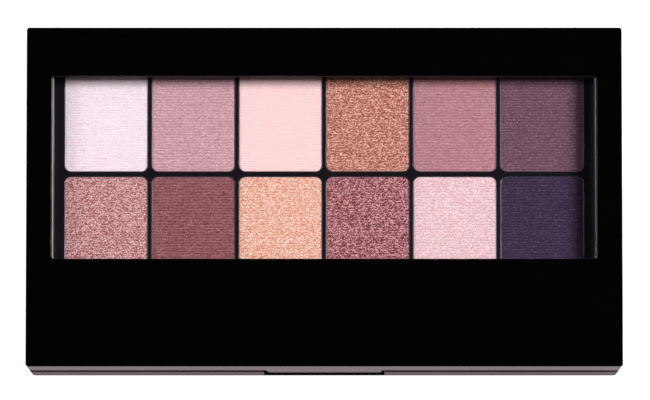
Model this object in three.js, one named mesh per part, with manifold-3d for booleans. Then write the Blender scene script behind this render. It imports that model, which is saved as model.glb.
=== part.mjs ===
// Eyeshadow palette: a hinged black case with a clear window over two rows of pressed powders.
// Millimetres, +Z up, front towards -Y, origin at the middle of the underside, lid closed.
import * as THREE from 'three';
import { mergeVertices } from 'three/addons/utils/BufferGeometryUtils.js';
import Module from 'manifold-3d';

const wasm = await Module();
wasm.setup();

// ---- Driving dimensions ---------------------------------------------------------------------

// Case
const CASE_W = 152;            // left to right, across the top of the lid
const CASE_D = 88.3;           // front to back
const CASE_H = 12;             // closed height
const END_LEAN = 1.5;          // how far each end leans in from top to bottom
const CORNER_R = 0.8;          // upright corners, in plan
const CORNER_STEPS = 3;
const FOOT_CHAMFER = 0.25;     // around the underside

// Lid
const PLATE = 1.6;             // top plate's thickness
const SKIRT = 1.3;             // skirt's wall at its lower edge
const REVEAL = 1.9;            // dark gap between the skirt and the base's rim
const SKIRT_GAP = 0.4;         // skirt to the upstand inside it
const TAB_W = 29.7;            // thumb tab, across its root
const TAB_SLANT = 0.65;        // each end of the tab leans in by this much
const TAB_DROP = 3;            // tab's height below the skirt
const TAB_GAP = 0.45;          // tab to the recess around it
const TAB_LEDGE = 0.8;         // bottom of the recess, above the underside

// Window
const WINDOW_SIDE = 6.45;      // frame's width left and right of the opening
const WINDOW_BACK = 12.71;     // frame's width behind it
const WINDOW_FRONT = 27.98;    // frame's width in front of it
const WINDOW_R = 0.7;
const LENS_GAP = 0.25;         // raised step to the opening's wall
const LENS_FLANGE = 0.8;       // flange's thickness, under the plate
const LENS_LAP = 2.4;          // how far the flange laps the frame
const LENS_SINK = 0.15;        // raised step below the top of the lid

// Base
const FLOOR = 1.6;
const UPSTAND = 1.2;           // wall that stands up inside the skirt
const UPSTAND_GAP = 0.4;       // its top to the lens flange
const CATCH_W = 18;            // ridges that hold the lid shut
const CATCH_RISE = 0.15;
const CATCH_H = 0.7;
const LABEL_W = 82;
const LABEL_D = 34;
const LABEL_T = 0.15;
const LABEL_SINK = 0.35;       // depth of the label's recess
const LABEL_GAP = 1;           // label's edge to the recess

// Hinge
const OPEN_ANGLE = THREE.MathUtils.degToRad(120);
const KNUCKLE_R = 1.6;
const HINGE_GAP = 0.3;         // between everything that turns past something else
const STOP_GAP = 0.1;          // lid's back corner to the rim when fully open
const PIN_R = 0.65;
const PIN_GAP = 0.1;
const PIN_SINK = 0.3;          // pin's ends inside the outer knuckles
const HINGE_SPREAD = 90;       // between the two hinges
const BLOCK_W = 8;             // base's hinge block
const KNUCKLE_W = 6;           // each of the lid's two knuckles beside it
const ROUND_STEPS = 24;

// Tray and pans
const COLUMNS = 6;
const ROWS = 2;
const RIB_X = 0.97;            // pan to pan, left to right
const RIB_Y = 1.2;             // pan to pan, front to back
const PANS_INSIDE = 3.3;       // window's side to the first pan
const PANS_BEHIND = 1.52;      // how far the back row runs under the frame
const PANS_BEFORE = 3.41;      // how far the front row runs under the frame
const PAN_R = 1.7;
const PAN_GAP = 0.1;           // pan to its pocket
const PAN_SINK = 0.15;         // pan's rim below the deck
const PAN_H = 2.6;
const PAN_WALL = 0.15;
const POWDER_SINK = 0.05;      // powder below the pan's rim
const GLUE_R = 4;
const GLUE_T = 0.2;
const DECK = 1.2;              // tray's top
const DECK_DROP = 1.4;         // lens flange to the deck
const TRAY_WALL = 1.1;
const TRAY_GAP = 0.2;          // tray to the upstand
const POCKET_FLOOR = 0.9;

// Applicator and its trough
const TROUGH_D = 14;
const TROUGH_END = 7;          // tray's end to the trough
const TROUGH_R = 5;
const TROUGH_FLOOR = 1;
const STEM_W = 4.8;
const STEM_T = 3.4;
const STEM_GRIP = 8;            // full width at each end of the stem
const STEM_TAPER = 4;          // from the grip to the waist
const STEM_WAIST = 0.72;       // waist, as a share of the full width
const TIP_L = 17;
const TIP_W = 7.6;
const TIP_T = 4.2;
const TIP_GAP = 0.1;           // stem to the sponge
const APPLICATOR_GAP = 3;      // tips to the trough's ends
const APPLICATOR_SIDE = 0.4;   // tips to the trough's back wall

// ---- Levels and edges worked out from them --------------------------------------------------

const plateZ = CASE_H - PLATE;                       // underside of the lid's top plate
const hingeY = CASE_D / 2 - KNUCKLE_R - HINGE_GAP;
const hingeZ = plateZ - KNUCKLE_R - HINGE_GAP;
const cornerR = Math.hypot(CASE_D / 2 - hingeY, CASE_H - hingeZ);
const cornerAngle = Math.atan2(CASE_H - hingeZ, CASE_D / 2 - hingeY);
const rimZ = hingeZ - cornerR * Math.sin(OPEN_ANGLE - cornerAngle) - STOP_GAP;
const skirtZ = rimZ + REVEAL;
const lensZ = plateZ - LENS_FLANGE;
const upstandZ = lensZ - UPSTAND_GAP;
const deckZ = lensZ - DECK_DROP;
const pocketZ = deckZ - PAN_SINK - PAN_H - GLUE_T;
const panZ = pocketZ + GLUE_T;
const troughZ = FLOOR + TROUGH_FLOOR;

const endAt = (z) => CASE_W / 2 - END_LEAN * (CASE_H - z) / CASE_H;
const skirtX = endAt(skirtZ) - SKIRT;                // inner faces of the lid's skirt
const skirtY = CASE_D / 2 - SKIRT;
const sweepR = Math.hypot(CASE_D / 2 - hingeY, hingeZ - skirtZ) + HINGE_GAP;
const upstandX = skirtX - SKIRT_GAP;                 // outer faces of the upstand
const upstandFront = -skirtY + SKIRT_GAP;
const upstandBack = hingeY - sweepR;
const trayX = upstandX - UPSTAND - TRAY_GAP;
const trayFront = upstandFront + UPSTAND + TRAY_GAP;
const trayBack = upstandBack - UPSTAND - TRAY_GAP;

const windowX = CASE_W / 2 - WINDOW_SIDE;
const windowBack = CASE_D / 2 - WINDOW_BACK;
const windowFront = -CASE_D / 2 + WINDOW_FRONT;

const pansX = windowX - PANS_INSIDE;
const pansBack = windowBack + PANS_BEHIND;
const pansFront = windowFront - PANS_BEFORE;
const panW = (2 * pansX - (COLUMNS - 1) * RIB_X) / COLUMNS;
const panD = (pansBack - pansFront - (ROWS - 1) * RIB_Y) / ROWS;

const troughX = trayX - TROUGH_END;
const troughY = (pansFront - PAN_GAP - TRAY_WALL + trayFront) / 2;
const applicatorL = 2 * (troughX - APPLICATOR_GAP);
const applicatorY = troughY + TROUGH_D / 2 - APPLICATOR_SIDE - TIP_W / 2;
const applicatorZ = troughZ + TIP_T / 2;

// ---- Turning three.js shapes into solids and back -------------------------------------------

function solidOf(geometry) {
  geometry.deleteAttribute('normal');
  geometry.deleteAttribute('uv');
  const merged = mergeVertices(geometry, 1e-4);
  return new wasm.Manifold(new wasm.Mesh({
    numProp: 3,
    vertProperties: new Float32Array(merged.attributes.position.array),
    triVerts: new Uint32Array(merged.index.array),
  }));
}

function geometryOf(solid) {
  const mesh = solid.getMesh();
  const geometry = new THREE.BufferGeometry();
  geometry.setAttribute('position', new THREE.BufferAttribute(mesh.vertProperties, 3));
  geometry.setIndex(new THREE.BufferAttribute(mesh.triVerts, 1));
  geometry.computeVertexNormals();
  return geometry;
}

const join = (first, ...others) => others.reduce((whole, other) => whole.add(other), first);
const cut = (first, ...others) => others.reduce((whole, other) => whole.subtract(other), first);

function box([x0, x1], [y0, y1], [z0, z1]) {
  const geometry = new THREE.BoxGeometry(x1 - x0, y1 - y0, z1 - z0);
  return solidOf(geometry.translate((x0 + x1) / 2, (y0 + y1) / 2, (z0 + z1) / 2));
}

function roundedOutline(halfX, halfY, radius) {
  const outline = new THREE.Shape();
  outline.absarc(halfX - radius, halfY - radius, radius, 0, Math.PI / 2);
  outline.absarc(radius - halfX, halfY - radius, radius, Math.PI / 2, Math.PI);
  outline.absarc(radius - halfX, radius - halfY, radius, Math.PI, 1.5 * Math.PI);
  outline.absarc(halfX - radius, radius - halfY, radius, 1.5 * Math.PI, 2 * Math.PI);
  return outline;
}

// A rounded block whose outline moves in by insetX and insetY at each level [z, insetX, insetY].
function block([x0, x1], [y0, y1], radius, levels) {
  const [halfX, halfY] = [(x1 - x0) / 2, (y1 - y0) / 2];
  const steps = levels.length - 1;
  const geometry = new THREE.ExtrudeGeometry(roundedOutline(halfX, halfY, radius), {
    depth: steps, steps, bevelEnabled: false, curveSegments: CORNER_STEPS,
  });
  const place = geometry.attributes.position;
  for (let i = 0; i < place.count; i += 1) {
    const [x, y] = [place.getX(i), place.getY(i)];
    const [z, insetX = 0, insetY = 0] = levels[Math.round(place.getZ(i))];
    place.setXYZ(i, x - Math.sign(x) * insetX, y - Math.sign(y) * insetY, z);
  }
  return solidOf(geometry.translate((x0 + x1) / 2, (y0 + y1) / 2, 0));
}

// Extrudes an outline drawn in the Y-Z plane along X.
function barAlongX(outline, [x0, x1]) {
  const geometry = new THREE.ExtrudeGeometry(outline, {
    depth: x1 - x0, bevelEnabled: false, curveSegments: ROUND_STEPS / 4,
  });
  const turn = new THREE.Matrix4().makeBasis(
    new THREE.Vector3(0, 1, 0), new THREE.Vector3(0, 0, 1), new THREE.Vector3(1, 0, 0),
  );
  return solidOf(geometry.applyMatrix4(turn).translate(x0, 0, 0));
}

function rodAlongX(radius, [x0, x1], y, z) {
  const geometry = new THREE.CylinderGeometry(radius, radius, x1 - x0, ROUND_STEPS);
  return solidOf(geometry.rotateZ(Math.PI / 2).translate((x0 + x1) / 2, y, z));
}

// ---- Materials ------------------------------------------------------------------------------

const finish = (color, roughness, metalness = 0) => new THREE.MeshStandardMaterial({
  color, roughness, metalness,
});
const blackGloss = finish('#060607', 0.12);
const blackTray = finish('#101014', 0.35);
const clearLens = new THREE.MeshStandardMaterial({
  color: '#f4f6fa', roughness: 0.05, metalness: 0, transparent: true, opacity: 0.2,
});
const tinPlate = finish('#b9bcc6', 0.3, 1);
const steel = finish('#9a9ca2', 0.3, 1);
const hotMelt = finish('#d9cfae', 0.6);
const sponge = finish('#efe6da', 0.95);
const labelPaper = finish('#e9e9ea', 0.9);

// Shades from left to right, back row first.
const SHADES = [
  ['pearl', '#f7e2ed'], ['mauve', '#cd9ea8'], ['peach', '#fcd8d8'],
  ['copper', '#c48576'], ['dusty_rose', '#ba838b'], ['plum_taupe', '#6e4e5e'],
  ['rosy_shimmer', '#c18c8d'], ['rosewood', '#8f585e'], ['gold', '#edb6a2'],
  ['burgundy', '#a86c71'], ['pale_pink', '#f0c8ce'], ['midnight', '#3e3148'],
];

const palette = new THREE.Group();

function add(name, solid, material, parent = palette) {
  const mesh = new THREE.Mesh(geometryOf(solid), material);
  mesh.name = name;
  parent.add(mesh);
}

// ---- Hinge: knuckles on the lid, blocks on the base, and two pins ----------------------------

const hingeXs = [['left', -HINGE_SPREAD / 2], ['right', HINGE_SPREAD / 2]];
const blockSpan = (x) => [x - BLOCK_W / 2, x + BLOCK_W / 2];
const notchSpan = (x) => [x - BLOCK_W / 2 - HINGE_GAP, x + BLOCK_W / 2 + HINGE_GAP];
const knuckleSpan = (x) => [notchSpan(x)[0] - KNUCKLE_W, notchSpan(x)[1] + KNUCKLE_W];
const pinSpan = (x) => [knuckleSpan(x)[0] + PIN_SINK, knuckleSpan(x)[1] - PIN_SINK];
const pinHole = (x) => rodAlongX(
  PIN_R + PIN_GAP, [knuckleSpan(x)[0] - 1, knuckleSpan(x)[1] + 1], hingeY, hingeZ,
);

// A half-round under the plate, from one outer end of the two knuckles to the other.
function lidKnuckles(x) {
  const outline = new THREE.Shape();
  outline.moveTo(hingeY + KNUCKLE_R, plateZ + PLATE / 2);
  outline.lineTo(hingeY - KNUCKLE_R, plateZ + PLATE / 2);
  outline.lineTo(hingeY - KNUCKLE_R, hingeZ);
  outline.absarc(hingeY, hingeZ, KNUCKLE_R, Math.PI, 2 * Math.PI);
  return barAlongX(outline, knuckleSpan(x));
}

// The block's back face is tangent to its round top and lies along the plate of the opened lid.
function hingeBlock(x) {
  const back = Math.PI / 2 - OPEN_ANGLE;
  const footZ = rimZ - FLOOR / 2;
  const tangentY = hingeY + KNUCKLE_R * Math.cos(back);
  const tangentZ = hingeZ + KNUCKLE_R * Math.sin(back);
  const outline = new THREE.Shape();
  outline.moveTo(upstandBack - UPSTAND / 2, footZ);
  outline.lineTo(tangentY + (tangentZ - footZ) * Math.tan(back), footZ);
  outline.absarc(hingeY, hingeZ, KNUCKLE_R, back, Math.PI);
  outline.lineTo(upstandBack - UPSTAND / 2, hingeZ - KNUCKLE_R / 2);
  return barAlongX(outline, blockSpan(x));
}

// ---- Lid ------------------------------------------------------------------------------------

// Flat ridge along X on a wall at y, which rises by `rise` towards its middle.
function ridge(y, z, rise) {
  const root = y - Math.sign(rise) * SKIRT / 4;
  const outline = new THREE.Shape([
    new THREE.Vector2(root, z - CATCH_H / 2), new THREE.Vector2(y, z - CATCH_H / 2),
    new THREE.Vector2(y + rise, z), new THREE.Vector2(y, z + CATCH_H / 2),
    new THREE.Vector2(root, z + CATCH_H / 2),
  ]);
  return barAlongX(outline, [-CATCH_W / 2, CATCH_W / 2]);
}

function thumbTab() {
  const top = skirtZ + TAB_DROP / 2;
  const slope = TAB_SLANT / TAB_DROP;
  const halfAt = (z) => TAB_W / 2 - (skirtZ - z) * slope;
  const outline = new THREE.Shape([
    new THREE.Vector2(-halfAt(skirtZ - TAB_DROP), skirtZ - TAB_DROP),
    new THREE.Vector2(halfAt(skirtZ - TAB_DROP), skirtZ - TAB_DROP),
    new THREE.Vector2(halfAt(skirtZ), skirtZ), new THREE.Vector2(halfAt(skirtZ), top),
    new THREE.Vector2(-halfAt(skirtZ), top), new THREE.Vector2(-halfAt(skirtZ), skirtZ),
  ]);
  const geometry = new THREE.ExtrudeGeometry(outline, { depth: SKIRT, bevelEnabled: false });
  const turn = new THREE.Matrix4().makeBasis(
    new THREE.Vector3(1, 0, 0), new THREE.Vector3(0, 0, 1), new THREE.Vector3(0, -1, 0),
  );
  return solidOf(geometry.applyMatrix4(turn).translate(0, -skirtY, 0));
}

function lidFrame() {
  const outer = block([-CASE_W / 2, CASE_W / 2], [-CASE_D / 2, CASE_D / 2], CORNER_R, [
    [skirtZ, CASE_W / 2 - endAt(skirtZ)], [CASE_H],
  ]);
  const hollow = box([-skirtX, skirtX], [-skirtY, skirtY], [skirtZ - TAB_DROP, plateZ]);
  const opening = block([-windowX, windowX], [windowFront, windowBack], WINDOW_R, [
    [plateZ - PLATE], [CASE_H + PLATE],
  ]);
  const notches = hingeXs.map(([, x]) => box(
    notchSpan(x), [hingeY - KNUCKLE_R - HINGE_GAP, CASE_D], [0, plateZ],
  ));
  const shell = join(
    cut(outer, hollow, opening), thumbTab(), ridge(-skirtY, skirtZ + CATCH_H, CATCH_RISE),
    ...hingeXs.map(([, x]) => lidKnuckles(x)),
  );
  return cut(shell, ...notches, ...hingeXs.map(([, x]) => pinHole(x)));
}

function lidWindow() {
  const flange = block(
    [-windowX - LENS_LAP, windowX + LENS_LAP], [windowFront - LENS_LAP, windowBack + LENS_LAP],
    WINDOW_R, [[lensZ], [plateZ]],
  );
  const step = block(
    [-windowX + LENS_GAP, windowX - LENS_GAP], [windowFront + LENS_GAP, windowBack - LENS_GAP],
    WINDOW_R - LENS_GAP, [[lensZ], [CASE_H - LENS_SINK]],
  );
  return join(flange, step);
}

// ---- Base -----------------------------------------------------------------------------------

function baseShell() {
  const outer = block([-CASE_W / 2, CASE_W / 2], [-CASE_D / 2, CASE_D / 2], CORNER_R, [
    [0, CASE_W / 2 - endAt(0) + FOOT_CHAMFER, FOOT_CHAMFER],
    [FOOT_CHAMFER, CASE_W / 2 - endAt(FOOT_CHAMFER)],
    [rimZ, CASE_W / 2 - endAt(rimZ)],
  ]);
  const upstand = block(
    [-upstandX, upstandX], [upstandFront, upstandBack], CORNER_R, [[FLOOR], [upstandZ]],
  );
  const catchZ = skirtZ + 2 * CATCH_H + HINGE_GAP;
  const hollow = box(
    [-upstandX + UPSTAND, upstandX - UPSTAND],
    [upstandFront + UPSTAND, upstandBack - UPSTAND], [FLOOR, CASE_H],
  );
  const thumbRecess = box(
    [-TAB_W / 2 - TAB_GAP, TAB_W / 2 + TAB_GAP],
    [-CASE_D, -skirtY + TAB_GAP], [TAB_LEDGE, rimZ + REVEAL / 2],
  );
  const labelRecess = box(
    [-LABEL_W / 2 - LABEL_GAP, LABEL_W / 2 + LABEL_GAP],
    [-LABEL_D / 2 - LABEL_GAP, LABEL_D / 2 + LABEL_GAP], [-FLOOR, LABEL_SINK],
  );
  const shell = cut(
    join(outer, upstand, ridge(upstandFront, catchZ, -CATCH_RISE)), hollow, thumbRecess,
    labelRecess,
  );
  const whole = join(shell, ...hingeXs.map(([, x]) => hingeBlock(x)));
  return cut(whole, ...hingeXs.map(([, x]) => pinHole(x)));
}

function baseLabel() {
  return box(
    [-LABEL_W / 2, LABEL_W / 2], [-LABEL_D / 2, LABEL_D / 2],
    [LABEL_SINK - LABEL_T, LABEL_SINK],
  );
}

// ---- Tray -----------------------------------------------------------------------------------

// Left, right, front and back edges of the pan in a column and row, row 0 at the back.
function panEdges(column, row) {
  const left = -pansX + column * (panW + RIB_X);
  const back = pansBack - row * (panD + RIB_Y);
  return [[left, left + panW], [back - panD, back]];
}

const grow = ([low, high], by) => [low - by, high + by];

function panTray() {
  const rim = block([-trayX, trayX], [trayFront, trayBack], CORNER_R, [[FLOOR], [deckZ]]);
  const under = box(
    grow([-trayX, trayX], -TRAY_WALL), grow([trayFront, trayBack], -TRAY_WALL),
    [0, deckZ - DECK],
  );
  const pocketTub = box(
    grow([-pansX, pansX], PAN_GAP + TRAY_WALL), grow([pansFront, pansBack], PAN_GAP + TRAY_WALL),
    [pocketZ - POCKET_FLOOR, deckZ],
  );
  const troughSpan = [troughY - TROUGH_D / 2, troughY + TROUGH_D / 2];
  const troughTub = block(
    grow([-troughX, troughX], TRAY_WALL), grow(troughSpan, TRAY_WALL), TROUGH_R + TRAY_WALL,
    [[FLOOR], [deckZ]],
  );
  const trough = block([-troughX, troughX], troughSpan, TROUGH_R, [[troughZ], [CASE_H]]);
  const pockets = [];
  for (let row = 0; row < ROWS; row += 1) {
    for (let column = 0; column < COLUMNS; column += 1) {
      const [spanX, spanY] = panEdges(column, row);
      pockets.push(block(
        grow(spanX, PAN_GAP), grow(spanY, PAN_GAP), PAN_R + PAN_GAP, [[pocketZ], [CASE_H]],
      ));
    }
  }
  return cut(join(cut(rim, under), pocketTub, troughTub), trough, ...pockets);
}

// ---- Pans, powders and glue -----------------------------------------------------------------

function addPan(column, row) {
  const [shade, color] = SHADES[(row * COLUMNS + column) % SHADES.length];
  const place = `${row + 1}_${column + 1}`;
  const [spanX, spanY] = panEdges(column, row);
  const inside = block(
    grow(spanX, -PAN_WALL), grow(spanY, -PAN_WALL), PAN_R - PAN_WALL,
    [[panZ + PAN_WALL], [CASE_H]],
  );
  add(`pan_${place}`, cut(block(spanX, spanY, PAN_R, [[panZ], [panZ + PAN_H]]), inside), tinPlate);
  const powder = block(
    grow(spanX, -PAN_WALL), grow(spanY, -PAN_WALL), PAN_R - PAN_WALL,
    [[panZ + PAN_WALL], [panZ + PAN_H - POWDER_SINK]],
  );
  add(`powder_${place}_${shade}`, powder, finish(color, 0.85));
  const glue = new THREE.CylinderGeometry(GLUE_R, GLUE_R, GLUE_T, ROUND_STEPS);
  const middle = [(spanX[0] + spanX[1]) / 2, (spanY[0] + spanY[1]) / 2];
  glue.rotateX(Math.PI / 2).translate(...middle, pocketZ + GLUE_T / 2);
  add(`glue_${place}`, solidOf(glue), hotMelt);
}

// ---- Applicator -----------------------------------------------------------------------------

// Turns a profile of [along, radius] pairs about X, then flattens it to width and thickness.
function flatTurning(profile, width, thickness) {
  const points = profile.map(([along, radius]) => new THREE.Vector2(radius, along));
  const geometry = new THREE.LatheGeometry(points, ROUND_STEPS);
  return solidOf(geometry.rotateZ(-Math.PI / 2).scale(1, width, thickness));
}

function addApplicator() {
  const group = new THREE.Group();
  group.position.set(0, applicatorY, applicatorZ);
  palette.add(group);
  const end = applicatorL / 2 - TIP_L;
  const grip = end - STEM_GRIP;
  const waist = grip - STEM_TAPER;
  const stem = flatTurning([
    [-end, 0], [-end, 0.5], [-grip, 0.5], [-waist, STEM_WAIST / 2],
    [waist, STEM_WAIST / 2], [grip, 0.5], [end, 0.5], [end, 0],
  ], STEM_W, STEM_T);
  add('applicator_stem', stem, blackGloss, group);
  const rise = [[0, 0], [0, 0.36], [0.1, 0.44], [0.3, 0.5], [0.5, 0.48], [0.7, 0.4], [0.86, 0.27],
    [0.96, 0.12], [1, 0]];
  const start = end + TIP_GAP;
  const length = TIP_L - TIP_GAP;
  const rightTip = rise.map(([along, radius]) => [start + along * length, radius]);
  const leftTip = rise.map(([along, radius]) => [-start - along * length, radius]).reverse();
  add('sponge_tip_right', flatTurning(rightTip, TIP_W, TIP_T), sponge, group);
  add('sponge_tip_left', flatTurning(leftTip, TIP_W, TIP_T), sponge, group);
}

// ---- The whole palette ----------------------------------------------------------------------

add('base_shell', baseShell(), blackGloss);
add('base_label', baseLabel(), labelPaper);
add('pan_tray', panTray(), blackTray);
for (let row = 0; row < ROWS; row += 1) {
  for (let column = 0; column < COLUMNS; column += 1) addPan(column, row);
}
addApplicator();
for (const [side, x] of hingeXs) {
  add(`hinge_pin_${side}`, rodAlongX(PIN_R, pinSpan(x), hingeY, hingeZ), steel);
}
add('lid_frame', lidFrame(), blackGloss);
add('lid_window', lidWindow(), clearLens);

export default palette;
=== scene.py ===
from math import cos, pi, radians, sin

import bpy
import numpy as np
from mathutils import Matrix, Vector


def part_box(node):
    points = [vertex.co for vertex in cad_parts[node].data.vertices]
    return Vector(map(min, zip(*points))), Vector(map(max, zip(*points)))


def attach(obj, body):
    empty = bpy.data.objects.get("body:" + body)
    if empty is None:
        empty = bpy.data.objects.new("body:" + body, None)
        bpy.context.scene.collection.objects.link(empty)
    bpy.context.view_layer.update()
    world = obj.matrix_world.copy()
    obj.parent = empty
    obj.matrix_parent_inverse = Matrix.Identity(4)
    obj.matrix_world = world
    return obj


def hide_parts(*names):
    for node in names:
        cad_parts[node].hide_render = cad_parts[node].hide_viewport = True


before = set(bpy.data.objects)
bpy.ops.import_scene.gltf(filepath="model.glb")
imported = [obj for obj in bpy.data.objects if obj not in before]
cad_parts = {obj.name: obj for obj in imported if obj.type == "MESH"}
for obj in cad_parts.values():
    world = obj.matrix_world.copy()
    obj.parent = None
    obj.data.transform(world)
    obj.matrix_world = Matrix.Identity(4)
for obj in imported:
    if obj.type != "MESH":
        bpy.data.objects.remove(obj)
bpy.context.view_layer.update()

MM = 0.001

# ---- Camera, floor and studio light --------------------------------------------------------
# A long lens looks down on the closed palette, tipped a little towards its front edge. A soft
# panel stands low behind the palette's right end, a weaker one behind its left end, and the
# studio is pale at the horizon and dark overhead, so that the gloss stays black.

CAMERA_TILT = radians(12)         # from straight down, towards the front
CAMERA_TARGET = Vector((0.18, -0.90, 12.0)) * MM
CAMERA_DISTANCE = 3.68
CAMERA_LENS = 800                 # millimetres, as the sensor's width is
CAMERA_SENSOR = 36
CAMERA_REACH = (0.1, 40.0)        # nearest and furthest that it sees
FLOOR_SIZE = 30.0
FLOOR_GLOW = (1.05, 1.03, 1.05)
FRONT_GLOW = (1.24, 1.01, 1.11)   # in the strip that the front walls mirror
FRONT_STRIP = (-50 * MM, -44.3 * MM)   # from front to back
FLOOR_PAINT = (0.15, 0.15, 0.15)
PANEL_WIDTH = 0.85
PANEL_HEIGHT = 0.66
PANEL_DISTANCE = 2.4
KEY_TOWARDS = (1.50, 0.34, 1.0)
KEY_POWER = 112                   # watts
KEY_COLOUR = (1.0, 0.97, 0.96)
FILL_TOWARDS = (-1.50, 0.34, 1.0)
FILL_POWER = 24
FILL_COLOUR = (0.96, 0.93, 1.0)
SKY = (                           # from the horizon to overhead: height, colour
    (0.0, (0.60, 0.58, 0.60)), (0.2, (0.34, 0.33, 0.34)), (0.5, (0.11, 0.105, 0.11)),
    (0.75, (0.016, 0.016, 0.017)), (1.0, (0.006, 0.006, 0.006)),
)


class Signal:
    """A shader socket. Arithmetic on signals adds Math nodes, and node() adds any other."""

    def __init__(self, tree, socket=None):
        self.tree = tree
        self.socket = socket

    def node(self, kind, settings=(), inputs=(), output=0):
        made = self.tree.nodes.new(kind)
        for key, value in dict(settings).items():
            if key == "stops":
                stops = made.color_ramp.elements
                stops.remove(stops[-1])
                stops[0].position = value[0][0]
                stops[0].color = (*value[0][1], 1)
                for at, colour in value[1:]:
                    stops.new(at).color = (*colour, 1)
            else:
                setattr(made, key, value)
        for key, value in dict(inputs).items():
            if isinstance(value, Signal):
                self.tree.links.new(value.socket, made.inputs[key])
            else:
                made.inputs[key].default_value = value
        return Signal(self.tree, made.outputs[output] if made.outputs else None)

    def maths(self, operation, *values):
        return self.node("ShaderNodeMath", {"operation": operation}, enumerate(values))

    def __add__(self, other):
        return self.maths("ADD", self, other)

    __radd__ = __add__

    def __sub__(self, other):
        return self.maths("SUBTRACT", self, other)

    def __rsub__(self, other):
        return self.maths("SUBTRACT", other, self)

    def __mul__(self, other):
        return self.maths("MULTIPLY", self, other)

    __rmul__ = __mul__

    def __abs__(self):
        return self.maths("ABSOLUTE", self)

    def between(self, low, high):
        """0 below low, 1 above high, and a smooth step from one to the other."""
        return self.node(
            "ShaderNodeMapRange", {"interpolation_type": "SMOOTHSTEP", "clamp": True},
            {"Value": self, "From Min": low, "From Max": high},
        )


def mix(factor, first, second):
    """A colour between two colours, either of which may be a signal."""
    colours = [c if isinstance(c, Signal) else (*c, 1) for c in (first, second)]
    return factor.node(
        "ShaderNodeMix", {"data_type": "RGBA", "clamp_factor": True},
        {0: factor, 6: colours[0], 7: colours[1]}, output=2,
    )


def srgb(red, green, blue):
    """A linear colour from the 0 to 255 numbers of a paint chip."""
    levels = [level / 255 for level in (red, green, blue)]
    return tuple(v / 12.92 if v <= 0.04045 else ((v + 0.055) / 1.055) ** 2.4 for v in levels)


scene = bpy.context.scene
scene.view_settings.view_transform = "Standard"

back = Vector((0, -sin(CAMERA_TILT), cos(CAMERA_TILT)))
camera = bpy.data.objects.new("camera", bpy.data.cameras.new("camera"))
camera.data.lens = CAMERA_LENS
camera.data.sensor_width = CAMERA_SENSOR
camera.data.clip_start, camera.data.clip_end = CAMERA_REACH
camera.location = CAMERA_TARGET + back * CAMERA_DISTANCE
camera.rotation_euler = (CAMERA_TILT, 0, 0)
scene.collection.objects.link(camera)
scene.camera = camera

world = bpy.data.worlds.new("studio")
world.use_nodes = True
scene.world = world
world.node_tree.nodes.clear()
sky = Signal(world.node_tree)
direction = sky.node("ShaderNodeTexCoord", output=0)
height = sky.node("ShaderNodeSeparateXYZ", inputs={0: direction}, output=2)
shade = sky.node("ShaderNodeValToRGB", {"stops": SKY}, {0: height})
glow = sky.node("ShaderNodeBackground", inputs={"Color": shade, "Strength": 1.0})
sky.node("ShaderNodeOutputWorld", inputs={"Surface": glow})


def soft_panel(name, towards, power, colour):
    """A wide soft panel that stands off in one direction and faces the palette."""
    lamp = bpy.data.lights.new(name, "AREA")
    lamp.shape = "RECTANGLE"
    lamp.size = PANEL_WIDTH
    lamp.size_y = PANEL_HEIGHT
    lamp.energy = power
    lamp.color = colour
    panel = bpy.data.objects.new(name, lamp)
    away = Vector(towards).normalized()
    panel.location = away * PANEL_DISTANCE
    panel.rotation_mode = "QUATERNION"
    panel.rotation_quaternion = (-away).to_track_quat("-Z", "Y")
    panel.visible_camera = False
    scene.collection.objects.link(panel)


soft_panel("key_panel", KEY_TOWARDS, KEY_POWER, KEY_COLOUR)
soft_panel("fill_panel", FILL_TOWARDS, FILL_POWER, FILL_COLOUR)

bpy.ops.object.select_all(action="DESELECT")
bpy.ops.mesh.primitive_plane_add(size=FLOOR_SIZE, location=(0, 0, 0))
floor = bpy.context.object
floor.name = "studio_floor"
floor_paint = bpy.data.materials.new("floor_paint")
floor_paint.use_nodes = True
floor_paint.node_tree.nodes.clear()
ground = Signal(floor_paint.node_tree)
spot = ground.node("ShaderNodeTexCoord", output=3)
depth = ground.node("ShaderNodeSeparateXYZ", inputs={0: spot}, output=1)
near, far = FRONT_STRIP
strip = depth.between(near - MM, near) * (1 - depth.between(far, far + 0.1 * MM))
lit = ground.node(
    "ShaderNodeBsdfPrincipled",
    inputs={
        "Base Color": (*FLOOR_PAINT, 1), "Roughness": 0.9, "Specular IOR Level": 0.0,
        "Emission Color": mix(strip, FLOOR_GLOW, FRONT_GLOW), "Emission Strength": 1.0,
    },
)
ground.node("ShaderNodeOutputMaterial", inputs={"Surface": lit})
floor.data.materials.append(floor_paint)

# ---- Case plastic and the base -------------------------------------------------------------
# The base is injection moulded in black gloss ABS: floor, low rim, the upstand that the lid
# closes round, a thumb recess and two hinge blocks. Its tooled edges are slightly rounded.

CASE_EDGE = 0.14 * MM             # radius of the case's edges
CASE_BLACK = (0.0005, 0.0004, 0.0006)
CASE_SHEEN = (0.0007, 0.00056, 0.00084)   # where the plastic swirled
GLOSS = 0.06                      # roughness of the polished faces
GLOSS_Z = 11.85 * MM              # all that lies above this is gloss
SIDE_X = 74.2 * MM                # the upright walls outside these two are satin
SIDE_Y = 43.8 * MM
SATIN = 0.32                      # what satin adds to the roughness
RIM_Z = 5.6 * MM                  # the base's walls, below this, are coarser still
COARSE = 0.14                     # what that adds
OPENING_X = 70 * MM               # the window opening's walls stand inside these two
OPENING_Y = 40 * MM
OPENING_Z = 10.5 * MM             # and above this
DULL = 0.75                       # what they add, being unpolished
FADE = 0.1 * MM                   # how far one finish takes to turn into the next
SHARP = radians(34)               # edges that turn more than this are tooled corners
SMOOTH = radians(40)              # edges that turn less than this are shaded smooth


def only(piece):
    """Selects this piece and nothing else."""
    bpy.ops.object.select_all(action="DESELECT")
    piece.select_set(True)
    bpy.context.view_layer.objects.active = piece


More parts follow.
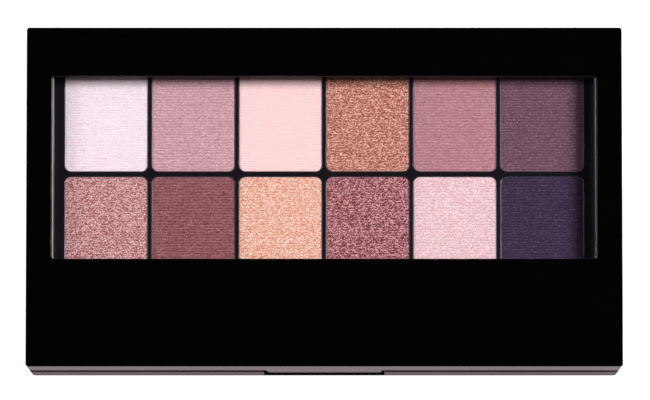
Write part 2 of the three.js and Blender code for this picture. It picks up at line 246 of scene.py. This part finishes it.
def finished(piece, *modifiers):
    """Adds each modifier with its settings and applies it."""
    only(piece)
    for kind, settings in modifiers:
        step = piece.modifiers.new(kind.lower(), kind)
        for key, value in settings.items():
            setattr(step, key, value)
        bpy.ops.object.modifier_apply(modifier=step.name)
    return piece


def from_solid(node, name):
    """A piece that starts as a CAD solid, with its loose triangles merged into whole faces."""
    piece = bpy.data.objects.new(name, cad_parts[node].data.copy())
    piece.data.materials.clear()
    scene.collection.objects.link(piece)
    only(piece)
    bpy.ops.mesh.customdata_custom_splitnormals_clear()
    bpy.ops.object.mode_set(mode="EDIT")
    bpy.ops.mesh.select_all(action="SELECT")
    bpy.ops.mesh.remove_doubles(threshold=0.005 * MM)
    bpy.ops.mesh.dissolve_limited(angle_limit=radians(0.5))
    bpy.ops.mesh.vert_connect_concave()
    bpy.ops.object.mode_set(mode="OBJECT")
    return piece


def eased(piece, radius, segments=3):
    """Rounds the sharp edges of a moulded piece and shades its flats flat."""
    finished(piece, ("BEVEL", {
        "width": radius, "segments": segments, "limit_method": "ANGLE",
        "angle_limit": SHARP, "use_clamp_overlap": False, "miter_outer": "MITER_ARC",
    }))
    bpy.ops.object.shade_smooth_by_angle(angle=SMOOTH)
    return finished(piece, ("WEIGHTED_NORMAL", {"keep_sharp": True, "weight": 80}))


def material(name, **constants):
    """A material with one Principled shader. Returns it, its shader and its first signal."""
    made = bpy.data.materials.new(name)
    made.use_nodes = True
    shader = made.node_tree.nodes["Principled BSDF"]
    for key, value in constants.items():
        shader.inputs[key.replace("_", " ")].default_value = value
    return made, shader, Signal(made.node_tree)


def place(signal, stretch=1):
    """The point on the piece, in metres in the palette's own frame, or drawn out along X."""
    point = signal.node("ShaderNodeTexCoord", output=3)
    return point.node("ShaderNodeMapping", inputs={"Vector": point, "Scale": (1 / stretch, 1, 1)})


def grain(signal, size, detail=2, stretch=1):
    """Noise from 0 to 1, whose blobs are about `size` across."""
    return signal.node(
        "ShaderNodeTexNoise",
        inputs={"Vector": place(signal, stretch), "Scale": 1 / size, "Detail": detail},
    )


def feed(shader, **signals):
    """Links signals to the shader's varying inputs."""
    for key, value in signals.items():
        value.tree.links.new(value.socket, shader.inputs[key.replace("_", " ")])


def relief(signal, height, depth, strength=1.0):
    """A normal for a height from 0 to 1 that stands `depth` proud."""
    return signal.node(
        "ShaderNodeBump", inputs={"Strength": strength, "Distance": depth, "Height": height},
    )


def axes(signal):
    """The point's three coordinates, as signals."""
    point = place(signal)
    return [signal.node("ShaderNodeSeparateXYZ", inputs={0: point}, output=i) for i in range(3)]


case_plastic, shader, paint = material("case_plastic", IOR=1.5)
swirl = grain(paint, 9 * MM, 3)
peel = grain(paint, 1.1 * MM, 1)
x, y, z = axes(paint)
outside = paint.maths("MAXIMUM", abs(x) - SIDE_X, abs(y) - SIDE_Y)
wall = outside.between(-FADE / 2, FADE / 2) * (GLOSS_Z - z).between(0, FADE)
wall = wall * (SATIN + COARSE * (RIM_Z - z).between(0, FADE))
inside = (OPENING_X - abs(x)).between(0, FADE) * (OPENING_Y - abs(y)).between(0, FADE)
inside = inside * (z - OPENING_Z).between(-FADE, 0) * (GLOSS_Z - z).between(0, FADE / 2)
feed(
    shader,
    Base_Color=mix(swirl, CASE_BLACK, CASE_SHEEN),
    Roughness=GLOSS + swirl * 0.04 + peel * 0.02 + wall + inside * DULL,
    Normal=relief(paint, peel, 0.002 * MM),
)


def is_piece_of(piece, body, slot, *nodes):
    """The piece rides on a body and stands for its CAD nodes, which it hides; the slot is not
    used.
    """
    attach(piece, body)
    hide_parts(*nodes)
    return piece


base = eased(from_solid("base_shell", "base"), CASE_EDGE)
base.data.materials.append(case_plastic)
is_piece_of(base, "base", "case_black", "base_shell")

# ---- Lid -----------------------------------------------------------------------------------
# The lid is one moulding too: a top plate with the window opening, a skirt with a thumb tab
# and a catch ridge, and the outer knuckles of both hinges.

lid = eased(from_solid("lid_frame", "lid"), CASE_EDGE)
lid.data.materials.append(case_plastic)
is_piece_of(lid, "lid", "case_black", "lid_frame")

# ---- Window --------------------------------------------------------------------------------
# A clear acrylic plate, glued by its flange under the lid, with a raised step that fills the
# opening. The step's sawn ends are frosted, and pass on the light that comes from inside.

LENS_EDGE = 0.5 * MM
LENS_IOR = 1.49
FLANGE_TOP = 11.0 * MM            # only the step's ends, above this, are frosted
LENS_CLEAR = (0.985, 0.985, 0.99)
LENS_FROST = (0.86, 0.84, 0.95)
GLARE = 1.5                       # how much more the clear faces mirror than bare acrylic

window = eased(from_solid("lid_window", "window"), LENS_EDGE, 2)
clear = bpy.data.materials.new("clear_acrylic")
clear.use_nodes = True
clear.node_tree.nodes.clear()
acrylic = Signal(clear.node_tree)
behind = acrylic.node("ShaderNodeNewGeometry", output=6)
normal = acrylic.node("ShaderNodeNewGeometry", output=3)
sideways = abs(normal.node("ShaderNodeSeparateXYZ", inputs={0: normal}, output=0))
frost = sideways.between(0.1, 0.2) * (0.55 + 0.2 * grain(acrylic, 0.5 * MM))
frost = frost * (axes(acrylic)[2] - FLANGE_TOP).between(0, FADE)
film = acrylic.node("ShaderNodeFresnel", inputs={"IOR": LENS_IOR}) * (1 - behind) * (1 - frost)
see = acrylic.node("ShaderNodeBsdfTransparent", inputs={"Color": (*LENS_CLEAR, 1)})
pale = acrylic.node("ShaderNodeBsdfTranslucent", inputs={"Color": (*LENS_FROST, 1)})
shine = acrylic.node(
    "ShaderNodeBsdfAnisotropic", {"distribution": "GGX"},
    {"Color": (1, 1, 1, 1), "Roughness": 0.03 + grain(acrylic, 6 * MM) * 0.02},
)
body = acrylic.node("ShaderNodeMixShader", inputs={0: frost, 1: see, 2: pale})
whole = acrylic.node("ShaderNodeMixShader", inputs={0: film * GLARE, 1: body, 2: shine})
acrylic.node("ShaderNodeOutputMaterial", inputs={"Surface": whole})
window.data.materials.append(clear)
is_piece_of(window, "lid", "clear_window", "lid_window")

# ---- Tray ----------------------------------------------------------------------------------
# A moulded black insert with a satin grain: two rows of six pockets for the pans and the long
# trough for the applicator.

TRAY_EDGE = 0.06 * MM
TRAY_BLACK = (0.0046, 0.0036, 0.0060)
TRAY_GREY = (0.0068, 0.0056, 0.0086)

tray = eased(from_solid("pan_tray", "tray"), TRAY_EDGE)
tray_plastic, shader, paint = material("tray_plastic", IOR=1.5)
fine = grain(paint, 0.35 * MM, 3)
broad = grain(paint, 14 * MM, 2)
feed(
    shader,
    Base_Color=mix(broad, TRAY_BLACK, TRAY_GREY),
    Roughness=0.22 + fine * 0.16,
    Normal=relief(paint, fine, 0.012 * MM),
)
tray.data.materials.append(tray_plastic)
is_piece_of(tray, "base", "tray_black", "pan_tray")

# ---- Pans ----------------------------------------------------------------------------------
# Twelve drawn tin-plate pans. Each is pressed from one disc of sheet, so its corners are
# rounded all the way down, and its rim is folded soft.

PAN_CORNER = 1.7 * MM
PAN_WALL = 0.15 * MM
PAN_RIM = 0.04 * MM
ROWS = 2
COLUMNS = 6
TIN_DARK = srgb(126, 121, 138)
TIN_PALE = srgb(148, 143, 160)


def vertical_edges(piece):
    """Selects the four upright edges of a box, in edit mode."""
    bpy.ops.object.mode_set(mode="OBJECT")
    for edge in piece.data.edges:
        ends = [piece.data.vertices[i].co for i in edge.vertices]
        along = ends[1] - ends[0]
        edge.select = abs(along.z) > 0.9 * along.length
    bpy.ops.object.mode_set(mode="EDIT")


def top_faces(piece):
    """Selects the faces that look up at the piece's highest level, in edit mode."""
    bpy.ops.object.mode_set(mode="OBJECT")
    top = max(vertex.co.z for vertex in piece.data.vertices)
    for face in piece.data.polygons:
        face.select = face.normal.z > 0.9 and face.center.z > top - 0.01 * MM
    bpy.ops.object.mode_set(mode="EDIT")


def rounded_box(name, low, high, corner, segments=8):
    """A box whose upright edges are rounded. It is left in edit mode with nothing selected."""
    bpy.ops.object.select_all(action="DESELECT")
    bpy.ops.mesh.primitive_cube_add(size=1, location=(low + high) / 2, scale=high - low)
    piece = bpy.context.object
    piece.name = name
    bpy.ops.object.transform_apply(location=True, rotation=True, scale=True)
    bpy.ops.object.mode_set(mode="EDIT")
    bpy.ops.mesh.select_mode(type="EDGE")
    bpy.ops.mesh.select_all(action="DESELECT")
    vertical_edges(piece)
    bpy.ops.mesh.bevel(offset=corner, segments=segments, affect="EDGES", clamp_overlap=False)
    bpy.ops.mesh.select_mode(type="FACE")
    bpy.ops.mesh.select_all(action="DESELECT")
    return piece


def copy_of(piece, name, shift):
    """Another one of the same shape, with its own mesh, moved in its mesh."""
    twin = bpy.data.objects.new(name, piece.data.copy())
    twin.data.transform(Matrix.Translation(shift))
    scene.collection.objects.link(twin)
    return twin


def in_every_pocket(first, node, name, slot):
    """The first piece and eleven copies of it, one for each pocket of the tray."""
    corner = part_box(f"{node}_1_1")[0]
    for row in range(1, ROWS + 1):
        for column in range(1, COLUMNS + 1):
            pocket = f"{row}_{column}"
            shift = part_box(f"{node}_{pocket}")[0] - corner
            piece = copy_of(first, f"{name}_{pocket}", shift) if shift.length else first
            is_piece_of(piece, "base", slot, f"{node}_{pocket}")


def drawn_pan(node, name):
    """A pan whose bottom and walls are one sheet of tin thick."""
    low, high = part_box(node)
    pan = rounded_box(name, low, high, PAN_CORNER)
    top_faces(pan)
    bpy.ops.mesh.inset(thickness=PAN_WALL)
    bpy.ops.mesh.extrude_region_move(
        TRANSFORM_OT_translate={"value": (0, 0, -(high.z - low.z - PAN_WALL))},
    )
    bpy.ops.object.mode_set(mode="OBJECT")
    return eased(pan, PAN_RIM)


tin, shader, paint = material("tin_plate", Metallic=1.0, IOR=1.5)
spangle = grain(paint, 0.9 * MM, 2)
scuff = grain(paint, 0.12 * MM, 2)
feed(
    shader,
    Base_Color=mix(spangle, TIN_DARK, TIN_PALE),
    Roughness=0.38 + scuff * 0.14,
    Normal=relief(paint, scuff, 0.002 * MM),
)

first_pan = drawn_pan("pan_1_1", "tin_1_1")
first_pan.data.materials.append(tin)
in_every_pocket(first_pan, "pan", "tin", "tin")

# ---- Powders -------------------------------------------------------------------------------
# Twelve pressed powders, back row first. The press cloth leaves fine ribs across each cake,
# and the cake's shoulders round off where it meets the tin. Mattes are plain pigment, satins
# carry fine pearl, and shimmers are full of coarse metal-bright flakes.

POWDER_CORNER = PAN_CORNER - PAN_WALL
RIB_PITCH = 0.70 * MM
RIB_HEIGHT = 0.055 * MM           # trough to crest
GRAIN_HEIGHT = 0.035 * MM
SWELL_HEIGHT = 0.01 * MM          # slow rise and fall of the whole face
SHOULDER = 0.40 * MM              # how far in from the edge a cake starts to round off
SHOULDER_DROP = 0.06 * MM
SOFT = radians(50)                # edges of soft pieces that turn less are shaded smooth
GRID_X = 100
GRID_Y = 200
DUST = 0.24 * MM
CLOUD = 5 * MM
FLAKE = 0.155 * MM
DASH = 1.6                        # how much longer the grain is along the ribs than across
MATTE = 0.9                       # roughness towards which plain pigment tends

# name: colour, bright flake colour that is partly a painted glint, dark fleck colour that also
# paints shade into the weave's dips, share of flakes, depth of the weave (how strongly the dips
# are painted darker, with the dust's grain), metal, roughness
SHADES = {
    "pearl": (
        srgb(248, 232, 239), srgb(254, 249, 251), srgb(225, 198, 212), 0.20, 0.26, 0.10, 0.50,
    ),
    "mauve": (
        srgb(215, 172, 179), srgb(237, 198, 204), srgb(159, 112, 123), 0.12, 0.60, 0.05, 0.65,
    ),
    "peach": (
        srgb(251, 215, 213), srgb(253, 228, 226), srgb(238, 189, 187), 0.10, 0.20, 0.00, 0.85,
    ),
    "copper": (
        srgb(207, 129, 110), srgb(255, 207, 188), srgb(123, 54, 38), 0.45, 0.70, 0.35, 0.45,
    ),
    "dusty_rose": (
        srgb(191, 138, 144), srgb(212, 164, 168), srgb(134, 83, 90), 0.08, 0.50, 0.00, 0.85,
    ),
    "plum_taupe": (
        srgb(118, 85, 102), srgb(148, 113, 129), srgb(69, 41, 55), 0.10, 0.58, 0.00, 0.80,
    ),
    "rosy_shimmer": (
        srgb(217, 152, 152), srgb(255, 217, 215), srgb(135, 58, 64), 0.50, 0.90, 0.35, 0.45,
    ),
    "rosewood": (
        srgb(164, 105, 110), srgb(184, 126, 132), srgb(86, 35, 41), 0.08, 0.80, 0.00, 0.80,
    ),
    "gold": (
        srgb(251, 197, 173), srgb(255, 245, 229), srgb(208, 117, 83), 0.45, 0.70, 0.30, 0.45,
    ),
    "burgundy": (
        srgb(168, 90, 99), srgb(247, 186, 189), srgb(81, 16, 30), 0.48, 0.80, 0.40, 0.45,
    ),
    "pale_pink": (
        srgb(239, 204, 207), srgb(251, 236, 236), srgb(203, 153, 162), 0.25, 0.50, 0.08, 0.60,
    ),
    "midnight": (
        srgb(62, 46, 73), srgb(86, 72, 101), srgb(30, 18, 40), 0.10, 0.58, 0.00, 0.80,
    ),
}


def powder_material(shade, colour, flake_and_glint, fleck_and_dip_shade, share, weave, metal, roughness):
    """Pigment in three tones: its own, a painted shade darker in the weave's dips, and bright on
    the flakes, partly as a painted glint.
    """
    made, shader, paint = material(
        f"powder_{shade}", IOR=1.45, Specular_IOR_Level=0.25, Sheen_Weight=0.06,
    )
    dust = grain(paint, DUST, 3, DASH)
    cloud = grain(paint, CLOUD)
    rise = paint.node("ShaderNodeAttribute", {"attribute_name": "rise"}, output=2)
    flakes = paint.node(
        "ShaderNodeTexVoronoi",
        inputs={"Vector": place(paint, DASH), "Scale": 1 / FLAKE, "Randomness": 1.0}, output=1,
    )
    random, tilt = (
        paint.node("ShaderNodeSeparateColor", inputs={0: flakes}, output=i) for i in range(2)
    )
    # Dark flecks gather in the weave's dips and bright flakes on its crests: painted shade and
    # painted highlight.
    proud = random + rise * 0.12
    bright = proud.between(1 - share, 1 - share * 0.35)
    dark = (1 - proud).between(1 - share, 1 - share * 0.35)
    # Painted shade: the colour darkens in the weave's dips, besides the dust's own darker grain.
    low = 1 - dust.between(0.36, 0.64) * 0.45 - (0.5 + rise * 0.5) * 0.55
    colour = mix(low * weave, colour, fleck_and_dip_shade)
    colour = mix(dark * 0.8, colour, fleck_and_dip_shade)
    # Bright flakes: partly pale pearl pigment, partly a painted glint standing in for their
    # sparkle.
    colour = mix(bright, colour, flake_and_glint)
    colour = mix(cloud.between(0.3, 0.75) * 0.06, colour, fleck_and_dip_shade)
    feed(
        shader,
        Base_Color=colour,
        Metallic=bright * metal,
        Roughness=roughness + (1 - bright) * (MATTE - roughness) * 0.8,
        Normal=relief(paint, dust * 0.5 + tilt * 0.5, 0.05 * MM, 0.5 + 0.5 * min(1, metal * 2)),
    )
    return made


def blurred(field, across, along):
    """Random numbers on the grid, averaged with their neighbours this many times."""
    for times, axis in ((across, 1), (along, 0)):
        for _ in range(times):
            field = (np.roll(field, 1, axis) + 2 * field + np.roll(field, -1, axis)) / 4
    return field / field.std()


def pressed_face(half_x, half_y, seed):
    """Points of the cake's face as a grid, and how far each stands proud, from -1 to 1."""
    chance = np.random.default_rng(seed)
    shape = (GRID_Y + 1, GRID_X + 1)
    along, across = np.meshgrid(
        np.linspace(-half_y, half_y, shape[0]), np.linspace(-half_x, half_x, shape[1]),
        indexing="ij",
    )
    drift = blurred(chance.normal(size=shape), 60, 12)
    weave = np.cos(2 * pi * along / RIB_PITCH + 0.5 * drift)
    weave *= 0.75 + 0.25 * blurred(chance.normal(size=shape), 12, 2)
    crumbs = blurred(chance.normal(size=shape), 1, 1)
    height = weave * RIB_HEIGHT / 2 + crumbs * GRAIN_HEIGHT / 4
    height += blurred(chance.normal(size=shape), 80, 200) * SWELL_HEIGHT
    # Where the face dips, rise also paints shade into the powder's colour.
    rise = (weave + crumbs * 0.5).clip(-1, 1)
    edge = np.minimum(half_x - np.abs(across), half_y - np.abs(along)).clip(0, SHOULDER)
    shoulder = (1 - edge / SHOULDER) ** 2
    height = height * (1 - shoulder) - SHOULDER_DROP * shoulder
    return np.stack([across, along, height - height.max()], axis=-1), rise * (1 - shoulder)


def pressed_powder(node, name, seed):
    """A cake that fills its pan: the pressed face, drawn down to a flat bottom."""
    low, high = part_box(node)
    middle = (low + high) / 2
    half_x, half_y = (high.x - low.x) / 2, (high.y - low.y) / 2
    bpy.ops.object.select_all(action="DESELECT")
    bpy.ops.mesh.primitive_grid_add(x_subdivisions=GRID_X, y_subdivisions=GRID_Y, size=2)
    cake = bpy.context.object
    cake.name = name
    face, rise = pressed_face(half_x, half_y, seed)
    co = face.reshape(-1, 3)
    # The square grid's corners are drawn in to quarter circles.
    corner = (np.abs(co[:, :2]) - (half_x - POWDER_CORNER, half_y - POWDER_CORNER)).clip(0, None)
    reach = np.hypot(*corner.T)
    pull = np.where(reach > 0, corner.max(axis=1) / reach.clip(1e-9, None), 1)
    co[:, :2] -= np.sign(co[:, :2]) * corner * (1 - pull)[:, None]
    co += (middle.x, middle.y, high.z)
    cake.data.vertices.foreach_set("co", co.ravel())
    cake.data.attributes.new("rise", "FLOAT", "POINT").data.foreach_set("value", rise.ravel())
    bpy.ops.object.mode_set(mode="EDIT")
    bpy.ops.mesh.select_mode(type="EDGE")
    bpy.ops.mesh.select_all(action="DESELECT")
    bpy.ops.mesh.select_non_manifold(use_wire=False, use_multi_face=False, use_verts=False)
    bpy.ops.mesh.extrude_region_move(
        TRANSFORM_OT_translate={"value": (0, 0, low.z - high.z + SHOULDER_DROP)},
    )
    bpy.ops.transform.resize(
        value=(1, 1, 0), center_override=(middle.x, middle.y, low.z),
    )
    bpy.ops.mesh.edge_face_add()
    bpy.ops.object.mode_set(mode="OBJECT")
    bpy.ops.object.shade_smooth_by_angle(angle=SOFT)
    return cake


for index, (shade, finish) in enumerate(SHADES.items()):
    row, column = divmod(index, COLUMNS)
    node = f"powder_{row + 1}_{column + 1}_{shade}"
    cake = pressed_powder(node, f"pressed_{shade}", seed=11 + index)
    cake.data.materials.append(powder_material(shade, *finish))
    is_piece_of(cake, "base", f"powder_{shade}", node)

# ---- Glue ----------------------------------------------------------------------------------
# Each pan sits on a dot of hot-melt glue, squeezed flat to an uneven round as it was pressed.

GLUE_BULGE = 1.03                 # how much wider the middle is than the top and bottom
GLUE_WAVE = 0.02                  # how uneven the round is, as a share of its radius
GLUE_SIDES = 40
GLUE_AMBER = srgb(214, 202, 166)
GLUE_PALE = srgb(226, 216, 186)


def glue_dot(node, name):
    """One dot, no wider anywhere than its node."""
    low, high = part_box(node)
    middle = (low + high) / 2
    bpy.ops.object.select_all(action="DESELECT")
    bpy.ops.mesh.primitive_circle_add(
        vertices=GLUE_SIDES, radius=(high.x - low.x) / 2 / GLUE_BULGE**2, fill_type="NGON",
        location=(middle.x, middle.y, low.z),
    )
    dot = bpy.context.object
    dot.name = name
    bpy.ops.object.transform_apply(location=True, rotation=True, scale=True)
    bpy.ops.object.mode_set(mode="EDIT")
    bpy.ops.mesh.select_all(action="SELECT")
    for growth in (GLUE_BULGE, 1, 1 / GLUE_BULGE):
        bpy.ops.mesh.extrude_region_move(
            TRANSFORM_OT_translate={"value": (0, 0, (high.z - low.z) / 3)},
        )
        bpy.ops.transform.resize(
            value=(growth, growth, 1), center_override=(middle.x, middle.y, low.z),
        )
    bpy.ops.mesh.select_all(action="SELECT")
    bpy.ops.mesh.normals_make_consistent(inside=False)
    bpy.ops.object.mode_set(mode="OBJECT")
    for vertex in dot.data.vertices:
        arm = vertex.co - Vector((middle.x, middle.y, vertex.co.z))
        turn = np.arctan2(arm.y, arm.x)
        vertex.co += arm * GLUE_WAVE * (sin(3 * turn) + sin(5 * turn + 1) - 1)
    bpy.ops.object.shade_smooth_by_angle(angle=SOFT)
    return dot


hot_melt, shader, paint = material(
    "hot_melt", IOR=1.48, Subsurface_Weight=0.3, Subsurface_Scale=MM,
)
feed(
    shader,
    Base_Color=mix(grain(paint, 1.5 * MM), GLUE_AMBER, GLUE_PALE),
    Roughness=0.35 + grain(paint, 0.4 * MM) * 0.25,
)
first_dot = glue_dot("glue_1_1", "glue_dot_1_1")
first_dot.data.materials.append(hot_melt)
in_every_pocket(first_dot, "glue", "glue_dot", "hot_melt")

# ---- Applicator ----------------------------------------------------------------------------
# A flat black styrene stem, slimmer in the middle, with a flocked foam tip glued on each end.

TURN_SIDES = 48
STEM_PROFILE = (   # millimetres from the stem's end, and share of its full width
    (0.0, 0.80), (0.15, 0.92), (0.5, 1.0), (4.0, 1.0), (7.6, 1.0), (8.6, 0.965), (10.2, 0.80),
    (11.6, 0.725), (12.6, 0.72), (30.0, 0.72),
)
TIP_PROFILE = (    # share of the tip's length from its root, and share of its full width
    (0.0, 0.70), (0.012, 0.78), (0.06, 0.85), (0.16, 0.935), (0.30, 1.0), (0.42, 0.99),
    (0.55, 0.92), (0.68, 0.80), (0.79, 0.65), (0.88, 0.48), (0.945, 0.32), (0.985, 0.16),
    (1.0, 0.05),
)
STEM_BLACK = (0.0015, 0.0014, 0.0018)
STEM_GREY = (0.0030, 0.0028, 0.0034)
FOAM_SHARE = 0.985                # of a tip's width, which leaves room for its bumps
FOAM_BUMPS = 0.12 * MM
FOAM_CELL = 0.7 * MM
# Colour of the painted shade in the foam's pores.
FOAM_PIT_SHADE = srgb(206, 192, 174)
FOAM_PALE = srgb(246, 239, 229)


def turned(name, node, rings):
    """A bar along X, built ring by ring: each ring is a place and a share of full width."""
    low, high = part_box(node)
    middle = (low + high) / 2
    place_x, share = rings[0]
    bpy.ops.object.select_all(action="DESELECT")
    bpy.ops.mesh.primitive_circle_add(
        vertices=TURN_SIDES, radius=0.5, fill_type="NGON", rotation=(0, pi / 2, 0),
        location=(place_x, 0, 0), scale=(share, share, 1),
    )
    bar = bpy.context.object
    bar.name = name
    bpy.ops.object.transform_apply(location=True, rotation=True, scale=True)
    bpy.ops.object.mode_set(mode="EDIT")
    bpy.ops.mesh.select_all(action="SELECT")
    for next_x, next_share in rings[1:]:
        bpy.ops.mesh.extrude_region_move(
            TRANSFORM_OT_translate={"value": (next_x - place_x, 0, 0)},
        )
        growth = next_share / share
        bpy.ops.transform.resize(value=(1, growth, growth), center_override=(next_x, 0, 0))
        place_x, share = next_x, next_share
    bpy.ops.mesh.select_all(action="SELECT")
    bpy.ops.mesh.normals_make_consistent(inside=False)
    bpy.ops.transform.resize(
        value=(1, high.y - low.y, high.z - low.z), center_override=(0, 0, 0),
    )
    bpy.ops.transform.translate(value=(0, middle.y, middle.z))
    bpy.ops.object.mode_set(mode="OBJECT")
    bpy.ops.object.shade_smooth_by_angle(angle=SOFT)
    return bar


low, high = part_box("applicator_stem")
left_half = [(low.x + along * MM, share) for along, share in STEM_PROFILE]
stem = turned("applicator_rod", "applicator_stem", left_half + [
    (-place_x, share) for place_x, share in reversed(left_half)
])
styrene, shader, paint = material("black_styrene", IOR=1.55)
feed(
    shader,
    Base_Color=mix(grain(paint, 6 * MM), STEM_BLACK, STEM_GREY),
    Roughness=0.16 + grain(paint, 0.6 * MM, 3) * 0.12,
    Normal=relief(paint, grain(paint, 0.9 * MM), 0.004 * MM),
)
stem.data.materials.append(styrene)
is_piece_of(stem, "base", "stem_black", "applicator_stem")

foam, shader, paint = material("flocked_foam", Sheen_Weight=0.4, Sheen_Roughness=0.4, IOR=1.4)
pores = paint.node(
    "ShaderNodeTexVoronoi", inputs={"Vector": place(paint), "Scale": 1 / (0.45 * MM)}, output=0,
)
flock = grain(paint, 0.16 * MM, 4)
feed(
    shader,
    # Painted shade: the foam is darker in its pores and flock, just where the bumps dip.
    Base_Color=mix(pores.between(0.15, 0.7) * 0.6 + flock * 0.3, FOAM_PIT_SHADE, FOAM_PALE),
    Roughness=0.82 + flock * 0.15,
    Normal=relief(paint, pores * 0.6 + flock * 0.6, 0.10 * MM),
)
cloud_texture = bpy.data.textures.new("foam_cells", "CLOUDS")
cloud_texture.noise_scale = FOAM_CELL
cloud_texture.noise_depth = 2
for side in ("left", "right"):
    node = f"sponge_tip_{side}"
    low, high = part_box(node)
    root, end = (low.x, high.x) if side == "right" else (high.x, low.x)
    tip = turned(f"foam_tip_{side}", node, [
        (root + (end - root) * along, share * FOAM_SHARE) for along, share in TIP_PROFILE
    ])
    finished(
        tip,
        ("SUBSURF", {"levels": 2, "render_levels": 2}),
        ("DISPLACE", {
            "texture": cloud_texture, "strength": FOAM_BUMPS, "mid_level": 0.6,
            "texture_coords": "LOCAL",
        }),
    )
    bpy.ops.object.shade_smooth()
    tip.data.materials.append(foam)
    is_piece_of(tip, "base", "sponge", node)

# ---- Hinge pins ----------------------------------------------------------------------------
# Two drawn steel pins with chamfered ends join the lid's knuckles to the base's blocks.

PIN_CHAMFER = 0.15 * MM
PIN_END = 0.8                     # a pin's end, as a share of its full width
STEEL_DARK = srgb(142, 144, 150)
STEEL_PALE = srgb(176, 178, 184)

pin_steel, shader, paint = material("pin_steel", Metallic=1.0)
drawn = grain(paint, 0.08 * MM, stretch=50)
feed(
    shader,
    Base_Color=mix(drawn, STEEL_DARK, STEEL_PALE),
    Roughness=0.22 + drawn * 0.2,
)
for side in ("left", "right"):
    node = f"hinge_pin_{side}"
    low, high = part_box(node)
    pin = turned(f"steel_pin_{side}", node, [
        (low.x, PIN_END), (low.x + PIN_CHAMFER, 1.0),
        (high.x - PIN_CHAMFER, 1.0), (high.x, PIN_END),
    ])
    pin.data.materials.append(pin_steel)
    is_piece_of(pin, "base", "pin_steel", node)

# ---- Underside label -----------------------------------------------------------------------
# A blank paper label with round corners lies in a shallow recess under the base.

LABEL_CORNER = 2.5 * MM
LABEL_EDGE = 0.03 * MM
PAPER_GREY = srgb(222, 222, 222)
PAPER_WHITE = srgb(240, 239, 237)

low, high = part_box("base_label")
label = rounded_box("paper_label", low, high, LABEL_CORNER)
bpy.ops.object.mode_set(mode="OBJECT")
eased(label, LABEL_EDGE, 2)
paper, shader, paint = material("label_paper", Specular_IOR_Level=0.3)
fibre = grain(paint, 0.25 * MM, 5)
feed(
    shader,
    Base_Color=mix(fibre, PAPER_GREY, PAPER_WHITE),
    Roughness=0.8 + fibre * 0.15,
    Normal=relief(paint, fibre, 0.01 * MM),
)
label.data.materials.append(paper)
is_piece_of(label, "base", "label_paper", "base_label")
